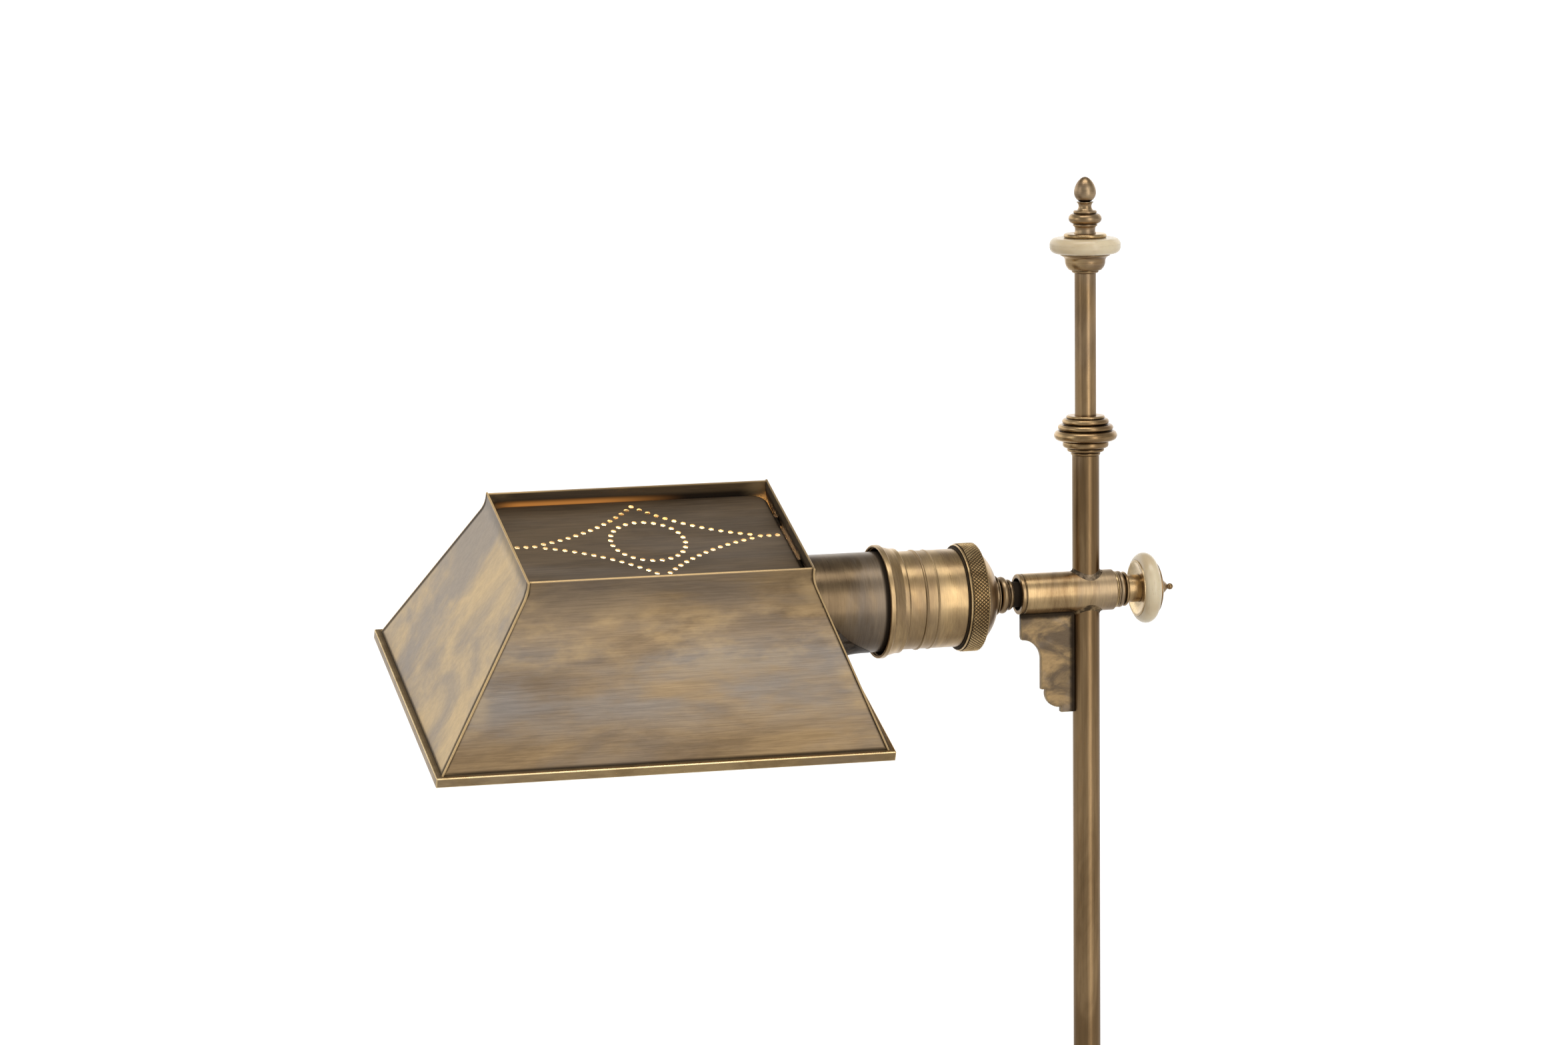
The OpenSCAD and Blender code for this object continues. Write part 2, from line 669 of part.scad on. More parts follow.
module bracket() color(brass) difference() {
    translate([0, 0, arm_h]) rotate([90, 0, 0]) linear_extrude(bracket_t, center = true) corbel_outline();
    arm_pin(sleeve_d / 2, -sleeve_left - 5, sleeve_right);
    mast_pin(mast_r, 0, arm_h);
}

// Mast: an upper tube and a long lower one, both coped to the sleeve
module tube(z0, z1) difference() {
    mast_pin(mast_r, z0, z1);
    mast_pin(mast_bore, z0 - 1, z1 + 1);
    arm_pin(sleeve_d / 2, -sleeve_left, sleeve_right);
}
module upper_tube() color(brass) tube(arm_h, collar_z);
module mast_tube() color(brass) tube(mast_foot, arm_h);
module mast_collar() color(brass) turned_mast(collar_z) difference() {
    union() {
        ring_stack(collar_rings);
        band(0, mast_bore - fit, -spigot_sink, 0);
    }
    band(0, rod_r + fit, rod_z - collar_z - rod_sink, rod_z);
}
module spire_rod() color(brass) {
    mast_pin(rod_r, rod_z - rod_sink, cup_z);
    mast_pin(rod_stud, cup_z - 1, finial_z + 10);
}
module stud_bore(h) translate([0, -1]) square([rod_stud + fit, h + 2]);
// An ogee cup: a ring on the rod, a round bowl, a cove and a thin rim under the bone
module finial_cup() color(brass) turned_mast(cup_z) {
    bowl_r = 9.4;
    bowl = 5.6;
    bowl_y = 5.6;
    cove = 2.55;
    rim_r = 11.7;
    rim_t = 0.9;
    difference() {
        union() {
            round_disc(6.3, 1.8, 0);
            intersection() {
                translate([bowl_r - bowl, bowl_y]) circle(r = bowl);
                band(0, bowl_r, 1.4, bowl_y);
            }
            difference() {
                band(0, rim_r - 0.2, bowl_y - 0.1, cup_h - rim_t / 2);
                translate([bowl_r + cove, bowl_y]) circle(r = cove);
            }
            round_disc(rim_r, rim_t, cup_h - rim_t);
        }
        stud_bore(cup_h);
    }
}
module finial_ring() color(bone) turned_mast(bone_z) difference() {
    round_disc(bone_d / 2, finial_bone_t, 0, 3);
    stud_bore(finial_bone_t);
}
module finial_washer() color(bright_brass) turned_mast(bone_washer_z) difference() {
    round_disc(10, finial_z - bone_washer_z, 0);
    stud_bore(finial_z - bone_washer_z);
}
// Turned finial: a hollow spool, ring, torus, ring, a waisted neck and a blunt acorn
module finial() color(brass) turned_mast(finial_z) {
    stud_end = 10;
    neck_y = 12.5;
    acorn_y = 18.9;
    acorn_r = 5.1;
    foot_r = 4.5;
    point = 3.4;
    tip_r = 2.9;
    ogive = acorn_r + point;
    tip_y = sqrt(pow(ogive - tip_r, 2) - point * point);
    meet_y = tip_y * ogive / (ogive - tip_r);
    difference() {
        union() {
            waisted(5.3, 4.7, 0, 3.5, 3.5);
            round_disc(5.7, 1.3, 3.3);
            round_disc(7.7, 4.6, 4.6);
            round_disc(5.5, 1.5, 9.2);
            waisted(3.9, 3, neck_y - 2, neck_y + 2.2, 2.3);
            band(0, acorn_r - foot_r, acorn_y - foot_r, acorn_y);
            intersection() {
                translate([acorn_r - foot_r, acorn_y]) circle(r = foot_r);
                band(0, acorn_r, acorn_y - foot_r, acorn_y);
            }
            intersection() {
                translate([-point, acorn_y]) circle(r = ogive);
                band(0, acorn_r, acorn_y, acorn_y + meet_y);
            }
            intersection() {
                translate([0, acorn_y + tip_y]) circle(r = tip_r);
                band(0, tip_r, acorn_y + tip_y, acorn_y + tip_y + tip_r);
            }
        }
        band(0, rod_stud + fit, -1, stud_end + fit);
    }
}
// A short spool from y0 to y1 with a hollow of radius hollow down to the radius waist
module waisted(r, waist, y0, y1, hollow) difference() {
    band(0, r, y0, y1);
    translate([waist + hollow, (y0 + y1) / 2]) circle(r = hollow);
}
module mast_lead() color("dimgray")
    mast_pin(lead_d / 2, mast_foot - journal_h - 8, arm_h - shaft_r - 1);

// Foot of the mast: a plug with a journal, a bush that slides in the lower tube, and its ring
module mast_plug() color(bright_brass) turned_mast(mast_foot) difference() {
    union() {
        band(0, mast_bore - fit, 0, plug_sink);
        band(0, journal_r, -journal_h - clip_t - 1.5, 1);
    }
    band(journal_r - 0.6, journal_r + 1, -journal_h - clip_t, -journal_h);
    band(0, lead_d / 2 + pass_gap, -journal_h - 5, plug_sink + 1);
}
module guide_bush() color("ivory") turned_mast(mast_foot - journal_h) difference() {
    band(0, lower_bore - fit, 0, journal_h);
    band(0, journal_r + fit, -1, journal_h + 1);
}
module retaining_ring() color("gray") turned_mast(mast_foot - journal_h - clip_t)
    band(journal_r - 0.6 + fit, journal_r + 1.6, 0, clip_t - fit);

// Lower tube with its gland: a ringed collar over the tube, a bush, and a lock screw
module lower_tube() color(brass) difference() {
    mast_pin(lower_r, neck_z + stack_h(socket_rings) - socket_grip, lower_top);
    mast_pin(lower_bore, 0, lower_top + 1);
}
module gland_collar() color(brass) difference() {
    turned_mast(lower_top - gland_grip) difference() {
        ring_stack([[10.4, 3], [11.6, 3], [13.4, 6.4, 2], [11.8, 9, 1], [10.6, 3, 1]]);
        band(0, lower_r + fit, -1, gland_grip + bush_h);
        band(0, mast_r + pass_gap, 0, gland_grip + 30);
    }
    lock_hole(screw_r_lock + fit);
}
module lock_hole(r) translate([0, 0, screw_z]) rotate([0, 90, 0]) cylinder(r = r, h = lower_d);
module gland_bush() color("ivory") difference() {
    turned_mast(lower_top) band(mast_r + fit, lower_r, 0, bush_h - fit);
    lock_hole(screw_r_lock + fit);
}
module lock_screw() color(bright_brass) translate([0, 0, screw_z]) rotate([0, 90, 0]) rotate_extrude() {
    start = mast_r + pass_gap;
    head = 13;
    band(0, screw_r_lock, start, head + 1);
    round_disc(4.2, 2, head);
    band(0, 2.8, head, head + 4);
    round_disc(8, 5, head + 4);
    round_disc(4, 1.6, head + 9);
    intersection() {
        translate([0, head + 11.4]) circle(r = 2);
        band(0, 2, head + 10, head + 14);
    }
}

// Base: a spun cover over a cast weight, held by a threaded pipe, with felt beneath
module base_socket() color(brass) turned_mast(neck_z) difference() {
    ring_stack(socket_rings);
    band(0, lower_r + fit, stack_h(socket_rings) - socket_grip, 100);
    band(0, nipple_r + fit, -1, 100);
}
module cover_outline() {
    polygon([[0, felt_t], [base_r, felt_t], [base_r, rim_top], [base_r - shoulder, cone_z],
             [bead_r, bead_z + 1], [bead_r - bead_h, bead_z + bead_h], [crown_r - 3, crown_z + 1],
             [0, crown_z + 1]]);
    intersection() {
        translate([base_r - shoulder, rim_top]) circle(r = shoulder);
        band(base_r - 2 * shoulder, base_r + 1, rim_top - 1, cone_z + 1);
    }
    round_disc(bead_r, bead_h, bead_z);
    round_disc(crown_r, neck_z - crown_z, crown_z);
}
module cover_cavity() polygon([[0, 0], [base_r - cover_t, 0], [base_r - cover_t, rim_top],
                               [base_r - shoulder, cone_z - 1.6 * cover_t], [bead_r, bead_z - cover_t],
                               [crown_r - 4, cavity_z], [0, cavity_z]]);
module base_cover() color(brass) difference() {
    turned_mast(0) difference() {
        cover_outline();
        cover_cavity();
        band(0, nipple_r + fit, 0, neck_z + 1);
    }
    gland_hole(cord_d / 2 + 1.5 + fit);
}
module gland_hole(r) translate([0, 0, cord_z]) rotate([-90, 0, 0]) cylinder(r = r, h = base_d);
module base_weight() color(iron) difference() {
    turned_mast(0) difference() {
        union() {
            band(0, weight_r, felt_t, weight_top);
            band(0, crown_r - 6, felt_t, cavity_z);
        }
        band(0, nipple_r + fit, 0, neck_z);
        band(0, 16, 0, felt_t + nut_h + 3);
    }
    translate([-cord_d, 0, 0]) cube([2 * cord_d, base_d, cord_z + cord_d]);
}
module base_nipple() color("gray") turned_mast(0)
    band(nipple_r - 1.4, nipple_r, felt_t + 1, neck_z + stack_h(socket_rings) - socket_grip - 1);
module base_washer() color("gray") turned_mast(felt_t + nut_h + 1)
    band(nipple_r + fit, 14, 0, 2);
module base_nut() color("gray") difference() {
    translate([0, 0, felt_t + 1]) cylinder(d = 19, h = nut_h, $fn = 6);
    mast_pin(nipple_r + fit, 0, neck_z);
}
module cord_gland() color("black") translate([0, base_r, cord_z]) rotate([-90, 0, 0]) rotate_extrude()
    difference() {
        union() {
            band(0, cord_d / 2 + 1.5, -cover_t - 1.5, 1);
            round_disc(cord_d / 2 + 3, 2.4, 0.2);
            band(0, cord_d / 2 + 2.6, -cover_t - 1.6, -cover_t - 0.4);
        }
        band(0, cord_d / 2, -10, 10);
    }
module base_felt() color("darkgreen") mast_pin(base_r - 2, 0, felt_t);

shade_front();
shade_back();
shade_outer_end();
shade_inner_end();
shade_rim();
punched_panel();
panel_clips();
shade_tube();
holder_shell();
knurled_ring();
holder_cap();
holder_insulator();
screw_shell();
centre_contact();
bulb_glass();
bulb_cap();
holder_neck();
neck_nut();
tilt_shaft();
mouth_washer();
arm_lead();
knob_washer();
knob_shank();
knob_dish();
knob_ring();
knob_cap();
cross_sleeve();
stop_screw();
bracket();
upper_tube();
mast_tube();
mast_collar();
spire_rod();
finial_cup();
finial_ring();
finial_washer();
finial();
mast_lead();
mast_plug();
guide_bush();
retaining_ring();
lower_tube();
gland_collar();
gland_bush();
lock_screw();
base_socket();
base_cover();
base_weight();
base_nipple();
base_nut();
base_washer();
cord_gland();
base_felt();
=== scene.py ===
import math

import bmesh
import bpy
from mathutils import Matrix, Vector


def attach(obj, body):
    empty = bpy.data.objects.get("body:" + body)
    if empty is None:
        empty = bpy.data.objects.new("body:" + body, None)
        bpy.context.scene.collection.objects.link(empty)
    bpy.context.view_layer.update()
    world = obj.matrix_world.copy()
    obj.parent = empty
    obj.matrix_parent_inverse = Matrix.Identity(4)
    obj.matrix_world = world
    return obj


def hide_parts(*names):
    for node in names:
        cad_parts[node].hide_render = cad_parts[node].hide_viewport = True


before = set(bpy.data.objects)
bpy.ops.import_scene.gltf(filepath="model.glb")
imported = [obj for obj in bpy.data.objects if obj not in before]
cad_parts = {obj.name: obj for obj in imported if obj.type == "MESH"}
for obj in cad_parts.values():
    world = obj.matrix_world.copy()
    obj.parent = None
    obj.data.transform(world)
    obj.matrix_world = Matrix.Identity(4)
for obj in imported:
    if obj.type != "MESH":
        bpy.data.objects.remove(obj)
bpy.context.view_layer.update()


# Felt pad under the base: a disc of pressed dark green wool felt, glued to the iron weight.
# Its fibres lie every way, so it is matt, and paler where the nap stands up.
class Wire:
    """An output of a material's node. Arithmetic on wires adds Math nodes to the tree."""

    def __init__(self, tree, socket=None):
        self.tree = tree
        self.socket = socket

    def node(self, kind, settings, sockets, output=0):
        made = self.tree.nodes.new(kind)
        for name, value in settings.items():
            setattr(made, name, value)
        for key, value in sockets.items():
            if isinstance(value, Wire):
                self.tree.links.new(value.socket, made.inputs[key])
            else:
                made.inputs[key].default_value = value
        return Wire(self.tree, made.outputs[output] if made.outputs else None)

    def math(self, operation, first, second):
        return self.node("ShaderNodeMath", {"operation": operation}, {0: first, 1: second})

    def vector(self, operation, sockets, output=0):
        return self.node("ShaderNodeVectorMath", {"operation": operation}, sockets, output)

    def along(self, axis):
        """How far this vector reaches along an axis."""
        return self.vector("DOT_PRODUCT", {0: self, 1: axis}, "Value")

    def __add__(self, other):
        return self.math("ADD", self, other)

    def __radd__(self, other):
        return self.math("ADD", other, self)

    def __sub__(self, other):
        return self.math("SUBTRACT", self, other)

    def __rsub__(self, other):
        return self.math("SUBTRACT", other, self)

    def __mul__(self, other):
        return self.math("MULTIPLY", self, other)

    def __rmul__(self, other):
        return self.math("MULTIPLY", other, self)

    def __abs__(self):
        return self.math("ABSOLUTE", self, 0.0)


def rgb(red, green, blue):
    return (red, green, blue, 1.0)


def noise(place, scale, detail=3.0, roughness=0.55, distortion=0.0):
    sockets = {"Vector": place, "Scale": scale, "Detail": detail, "Roughness": roughness,
               "Distortion": distortion}
    return place.node("ShaderNodeTexNoise", {}, sockets)


def smooth(value, low, high):
    sockets = {"Value": value, "From Min": low, "From Max": high}
    return value.node("ShaderNodeMapRange", {"interpolation_type": "SMOOTHSTEP"}, sockets)


def mix(factor, first, second, how="MIX"):
    """Colour first, turned towards second where factor is one."""
    wire = next(w for w in (factor, first, second) if isinstance(w, Wire))
    settings = {"data_type": "RGBA", "blend_type": how}
    return wire.node("ShaderNodeMix", settings, {0: factor, 6: first, 7: second}, 2)


def surface(name):
    """A new material, and a wire that carries the piece's own coordinates in metres."""
    material = bpy.data.materials.new(name)
    material.use_nodes = True
    material.node_tree.nodes.clear()
    return material, Wire(material.node_tree).node("ShaderNodeTexCoord", {}, {}, "Object")


def finish(material, place, sockets):
    shader = place.node("ShaderNodeBsdfPrincipled", {}, sockets)
    place.node("ShaderNodeOutputMaterial", {}, {"Surface": shader})
    return material


def dress(material, *names):
    for name in names:
        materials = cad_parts[name].data.materials
        materials.clear()
        materials.append(material)


def plain(name, low, high, rough, scale, relief, metal=0.0):
    """A moulded, pressed or cast surface: two tones in a fine noise, with its relief."""
    material, place = surface(name)
    grain = noise(place, scale, 4.0, 0.6)
    bump = place.node("ShaderNodeBump", {}, {"Height": grain, "Strength": 0.5, "Distance": relief})
    return finish(material, place, {
        "Base Color": mix(smooth(grain, 0.35, 0.65), low, high), "Metallic": metal,
        "Roughness": rough + 0.15 * (grain - 0.5), "Normal": bump})


felt = plain("pressed_felt", rgb(0.02, 0.045, 0.025), rgb(0.045, 0.085, 0.05), 0.95, 1800.0, 6e-4)
dress(felt, "base_felt")

# Weight and fixings inside the base: a grey iron casting with a sandy skin, and a zinc-plated
# steel pipe with its nut and washer, which clamp the cover and the socket down on the weight.
iron = plain("sand_cast_iron", rgb(0.03, 0.03, 0.032), rgb(0.075, 0.072, 0.07), 0.7, 900.0, 4e-4, 0.8)
zinc = plain("zinc_plated_steel", rgb(0.42, 0.42, 0.43), rgb(0.6, 0.6, 0.59), 0.34, 1200.0, 2e-5, 1.0)
dress(iron, "base_weight")
dress(zinc, "base_nipple", "base_nut", "base_washer")

# Gland for the supply cord: black rubber, moulded in one piece with two lips, which snap into
# a hole in the cover's wall and keep its edge from cutting the cord.
rubber = plain("black_rubber", rgb(0.008, 0.008, 0.008), rgb(0.02, 0.02, 0.02), 0.6, 1500.0, 3e-5)
dress(rubber, "cord_gland")

# Base cover and socket: brass spun on a lathe, browned by chemical patina and then rubbed back
# with a fine abrasive while it turned, so the crests are golden and the corners stay dark, from patina and
# painted shade.
UPRIGHT = Vector((0.0, 0.0, 1.0))
GOLD = rgb(0.50, 0.345, 0.175)
BROWN = rgb(0.27, 0.17, 0.082)
BLACK = rgb(0.0, 0.0, 0.0)
BLOOM = rgb(0.31, 0.27, 0.235)
HAZE = rgb(0.29, 0.26, 0.235)
GRIME_AND_SHADE = rgb(0.03, 0.018, 0.01)
DIRT_AND_SHADE = rgb(0.022, 0.014, 0.008)
WORN_EDGE = rgb(0.80, 0.60, 0.32)
RUBBED_AND_HIGHLIGHT = rgb(0.76, 0.53, 0.26)
ENAMEL = rgb(0.84, 0.80, 0.72)
LAMPLIGHT = rgb(0.85, 0.33, 0.07)
BRUSH_DEPTH = 0.00002


def stretched(place, direction, lengthwise, crosswise):
    """Coordinates scaled by one factor along a direction and by another across it."""
    push = (lengthwise - crosswise) * place.along(direction)
    grown = place.vector("SCALE", {0: place, "Scale": crosswise})
    drawn = place.vector("SCALE", {0: direction, "Scale": push})
    return place.vector("ADD", {0: grown, 1: drawn})


def brass(name, gold, brown, brushed, cloud, rough, *, soft=0.11, bloom=0.3, lines=0.25, grime_and_shade=0.6, worn=0.6,
          ease=0.0005, dents=0.0, soot_and_shade=None, rub_and_highlight=None, haze=None, lining=None, glow=None):
    """Browned brass, its patina worn back in clouds, with grimy corners that are also painted darker as
    shade, and worn edges.

    Brushed is a direction, and the grain's frequency along it and across it. Cloud is the frequency
    of the patches. The masks made from a place are, in order: where grimy stains and painted shade lie,
    where hands wear the brass bright and a highlight is painted, where bloom is, where enamel is,
    and where a glow of the bulb's light is painted.
    """
    material, place = surface(name)
    direction, lengthwise, crosswise = brushed
    longest = max(lengthwise, crosswise)
    grain = noise(stretched(place, *brushed), 1.0, 3.0, 0.75)
    laid = stretched(place, direction, 0.3 + 0.7 * lengthwise / longest, 0.3 + 0.7 * crosswise / longest)
    clouds = noise(laid, cloud, 6.0, 0.62, 0.7)
    shifted = place.node("ShaderNodeMapping", {}, {"Vector": laid, "Location": (3.1, 1.7, 5.3)})
    stains = smooth(noise(shifted, 0.6 * cloud, 5.0, 0.62, 0.5), 0.46, 0.62)
    tone = mix(smooth(clouds, 0.5 - soft, 0.5 + soft), brown, gold)
    tone = mix(bloom * stains, tone, BLOOM)
    if haze:
        tone = mix(haze(place), tone, HAZE)
    tone = mix(1.0, tone, (1.0 - 0.5 * lines) + lines * smooth(grain, 0.3, 0.7), "MULTIPLY")
    # Ambient occlusion darkens the hollows: patina and dirt that lie there, and painted shade.
    hollow = place.node("ShaderNodeAmbientOcclusion", {"samples": 6}, {"Distance": 3.0 * ease}, "AO")
    tone = mix(grime_and_shade * smooth(1.0 - hollow, 0.15, 0.6), tone, GRIME_AND_SHADE)
    rounded = place.node("ShaderNodeBevel", {"samples": 4}, {"Radius": ease})
    facing = place.node("ShaderNodeNewGeometry", {}, {}, "Normal")
    edge = smooth(1.0 - rounded.along(facing), 0.01, 0.18) * smooth(hollow, 0.5, 0.9)
    tone = mix(worn * edge, tone, WORN_EDGE)
    metal = 1.0
    rough = rough + 0.16 * (grain - 0.5) + 0.1 * stains
    if soot_and_shade:
        dirt_and_shade = soot_and_shade(place)
        tone = mix(dirt_and_shade, tone, DIRT_AND_SHADE)
        metal = 1.0 - 0.9 * dirt_and_shade
        rough = rough + 0.35 * dirt_and_shade
    if rub_and_highlight:
        tone = mix(rub_and_highlight(place), tone, RUBBED_AND_HIGHLIGHT)
    if lining:
        paint = lining(place)
        tone = mix(paint, tone, ENAMEL)
        metal = metal * (1.0 - paint)
    relief = BRUSH_DEPTH * grain + dents * noise(place, 45.0, 2.0, 0.5)
    bump = place.node("ShaderNodeBump", {}, {
        "Height": relief, "Strength": 1.0, "Distance": 1.0, "Normal": rounded})
    sockets = {"Base Color": tone, "Metallic": metal, "Roughness": rough, "Normal": bump,
               "Specular IOR Level": 0.1}
    if glow:
        sockets["Emission Color"] = mix(glow(place), BLACK, LAMPLIGHT)
        sockets["Emission Strength"] = 1.0
    return finish(material, place, sockets)


spun = brass("spun_brass", GOLD, BROWN, (UPRIGHT, 2400.0, 90.0), 30.0, 0.33)
dress(spun, "base_cover", "base_socket")

# Lower tube with its gland collar and lock screw: the tube is drawn brass, polished along its
# length. The collar is turned brass over a nylon bush, and the screw goes through both to the mast.
ACROSS = Vector((1.0, 0.0, 0.0))
nylon = plain("nylon", rgb(0.72, 0.7, 0.63), rgb(0.82, 0.8, 0.73), 0.45, 700.0, 2e-5)
drawn_tube = brass("drawn_tube", rgb(0.37, 0.245, 0.125), rgb(0.19, 0.118, 0.056),
                   (UPRIGHT, 18.0, 1500.0), 22.0, 0.3)
turned_z = brass("turned_upright", GOLD, BROWN, (UPRIGHT, 3000.0, 60.0), 60.0, 0.28, grime_and_shade=0.85)
bright = brass("rubbed_brass", rgb(0.62, 0.45, 0.235), rgb(0.42, 0.285, 0.14),
               (ACROSS, 300.0, 300.0), 70.0, 0.26, grime_and_shade=0.4)
dress(drawn_tube, "lower_tube")
dress(turned_z, "gland_collar")
dress(nylon, "gland_bush")
dress(bright, "lock_screw")

# Mast: drawn tube that slides in the lower one on a nylon bush, with a turned plug and a steel
# ring at its foot. Above the sleeve it carries a turned collar, the spire rod and the finial.
dress(drawn_tube, "mast_tube", "upper_tube", "spire_rod")
dress(turned_z, "mast_collar", "finial_cup", "finial")
dress(nylon, "guide_bush")
dress(bright, "mast_plug", "finial_washer")
dress(zinc, "retaining_ring")

# Lead in the mast and in the arm: two stranded cores in one sheath of dull dark plastic, drawn
# through the tubes and left loose in them, so that the mast can turn.
sheath = plain("lead_sheath", rgb(0.03, 0.028, 0.026), rgb(0.06, 0.056, 0.05), 0.6, 900.0, 3e-5)
dress(sheath, "mast_lead", "arm_lead")

# Cross sleeve: thick brass tube, turned, brazed across the mast. The braze leaves a hollow
# fillet round both ends of the mast, where the sleeve and the tubes run into each other.
ARM_Z = 1.16
MAST_R = 0.00635
SLEEVE_R = 0.0095
BORE_R = 0.0074
BRAZE_LEG = 0.0018
SINK = 0.00005


def from_axis(place):
    """Distance from the arm's axis."""
    offset = place.vector("SUBTRACT", {0: place, 1: (0.0, 0.0, ARM_Z)})
    flat = place.vector("MULTIPLY", {0: offset, 1: (0.0, 1.0, 1.0)})
    return place.vector("LENGTH", {0: flat}, "Value")


def bore_shade(place):
    """Painted shade that blackens the inside of the sleeve."""
    return 0.95 * (1.0 - smooth(from_axis(place), BORE_R, BORE_R + 0.0005))


def burnt_flux(place):
    """Flux that the torch has burnt on the fillet, in ragged patches."""
    return 0.85 * smooth(noise(place, 220.0, 4.0, 0.6), 0.36, 0.56)


def piece(name, bm, body, slot, *materials):
    mesh = bpy.data.meshes.new(name)
    bm.to_mesh(mesh)
    bm.free()
    made = bpy.data.objects.new(name, mesh)
    bpy.context.collection.objects.link(made)
    for material in materials:
        mesh.materials.append(material)
    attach(made, body)
    return made


def fillet(segments, steps, spot):
    """A flat ring of faces, drawn into shape: spot places a vertex by its share outwards and its angle."""
    bm = bmesh.new()
    ring = bmesh.ops.create_circle(bm, segments=segments, radius=1.0)["verts"]
    for step in range(steps):
        loop = [e for e in bm.edges if all(v in ring for v in e.verts)]
        grown = bmesh.ops.extrude_edge_only(bm, edges=loop)["geom"]
        ring = [v for v in grown if isinstance(v, bmesh.types.BMVert)]
        growth = (steps + step + 1.0) / (steps + step)
        bmesh.ops.scale(bm, verts=ring, vec=(growth, growth, 1.0))
    for vert in bm.verts:
        vert.co = spot(vert.co.length - 1.0, math.atan2(vert.co.y, vert.co.x))
    for face in bm.faces:
        face.smooth = True
    bmesh.ops.recalc_face_normals(bm, faces=bm.faces)
    return bm


def on_fillet(share, angle, side):
    """From the mast's wall out to the sleeve's, above it or below it."""
    reach = MAST_R - SINK + BRAZE_LEG * share ** 2
    across = reach * math.sin(angle)
    rise = math.sqrt(SLEEVE_R ** 2 - across ** 2) - SINK * share
    drop = BRAZE_LEG * (1.0 - share) ** 2
    return (reach * math.cos(angle), across, ARM_Z + side * (rise + drop))


TURNED_ACROSS = (ACROSS, 2600.0, 70.0)
bored = brass("turned_and_bored", GOLD, BROWN, TURNED_ACROSS, 55.0, 0.29, soot_and_shade=bore_shade)
brazing = brass("brazing", rgb(0.33, 0.225, 0.115), rgb(0.18, 0.12, 0.06),
                (ACROSS, 500.0, 500.0), 120.0, 0.36, soot_and_shade=burnt_flux)
dress(bored, "cross_sleeve")
for name, side in (("upper_fillet", 1.0), ("lower_fillet", -1.0)):
    ring = fillet(72, 5, lambda share, angle: on_fillet(share, angle, side))
    piece(name, ring, "mast", "antique_brass", brazing)


# Corbel bracket: a brass plate sawn to its outline, filed round at the edges and brazed under
# the sleeve and to the mast, where the flux has left dark lines and painted shade darkens it.
def eased(node, body, slot, width, *materials, chosen=None, fold=0.0, edge_material=-1):
    """A copy of a CAD piece, which stands for it, with its edges filed round and its folds softened."""
    bm = bmesh.new()
    bm.from_mesh(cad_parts[node].data)
    bmesh.ops.remove_doubles(bm, verts=bm.verts, dist=3e-5)
    bmesh.ops.dissolve_limit(bm, angle_limit=math.radians(0.5), verts=bm.verts, edges=bm.edges)
    if fold:
        folds = [e for e in bm.edges if e.is_manifold and 0.17 < e.calc_face_angle() < 0.6]
        bmesh.ops.bevel(bm, geom=folds, offset=fold, segments=5, profile=0.5, affect="EDGES", material=-1)
    sharp = [e for e in bm.edges if e.is_manifold and e.calc_face_angle() > math.radians(35.0)]
    if chosen:
        sharp = [e for e in sharp if chosen(e)]
    for face in bm.faces:
        face.material_index = 0
    bmesh.ops.bevel(bm, geom=sharp, offset=width, segments=3, profile=0.5, affect="EDGES", material=edge_material,
                    clamp_overlap=True)
    for face in bm.faces:
        face.smooth = True
    for edge in bm.edges:
        edge.smooth = edge.is_manifold and edge.calc_face_angle() < math.radians(33.0)
    made = piece(node + "_eased", bm, body, slot, *materials)
    made.modifiers.new("even_shading", "WEIGHTED_NORMAL").keep_sharp = True
    if "custom_normal" in made.data.attributes:
        made.data.attributes.remove(made.data.attributes["custom_normal"])
    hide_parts(node)
    return made


def larger(first, second):
    return first.math("MAXIMUM", first, second)


def flux_and_shade(place):
    """Dark along the seams with the sleeve above and the mast to the right: brazing stains, and painted
    shade.
    """
    ragged = 0.0016 * noise(place, 350.0, 4.0, 0.7)
    under = smooth(place.along(UPRIGHT) + ragged, ARM_Z - SLEEVE_R - 0.0024, ARM_Z - SLEEVE_R - 0.0002)
    beside = smooth(place.along(ACROSS) + ragged, -MAST_R - 0.0022, -MAST_R)
    return 0.9 * larger(under, beside)


plate = brass("sawn_plate", rgb(0.33, 0.222, 0.108), rgb(0.115, 0.083, 0.054),
              (ACROSS, 300.0, 500.0), 75.0, 0.4,
              soft=0.12, bloom=0.35, lines=0.2, worn=0.9, ease=0.0009, dents=2e-4, soot_and_shade=flux_and_shade)
eased("bracket", "mast", "antique_brass", 0.0007, plate)

# Tilt shaft: a hollow brass shaft, dark from oil, that turns in the sleeve against a fibre washer.
# A steel screw in its groove limits the turn, and a brass nut holds the lampholder on its end.
dark = brass("dark_brass", rgb(0.24, 0.175, 0.105), rgb(0.12, 0.082, 0.05),
             (ACROSS, 1400.0, 90.0), 45.0, 0.34)
fibre = plain("vulcanised_fibre", rgb(0.16, 0.06, 0.03), rgb(0.24, 0.1, 0.05), 0.6, 600.0, 3e-5)
dress(dark, "tilt_shaft")
dress(fibre, "mouth_washer")
dress(zinc, "stop_screw")
dress(bright, "neck_nut")

# Lock knob: a washer, a turned shank with beads, a polished dish and a domed cap, all on the
# threaded end of the tilt shaft, with the bone ring between the dish and the cap.
turned_x = brass("turned_across", GOLD, BROWN, TURNED_ACROSS, 55.0, 0.29)
polished = brass("polished_dish", rgb(0.74, 0.57, 0.34), rgb(0.58, 0.43, 0.24),
                 (ACROSS, 60.0, 700.0), 60.0, 0.2, bloom=0.0, grime_and_shade=0.1, worn=0.3)
dress(turned_x, "knob_shank", "knob_cap")
dress(bright, "knob_washer")
dress(polished, "knob_dish")


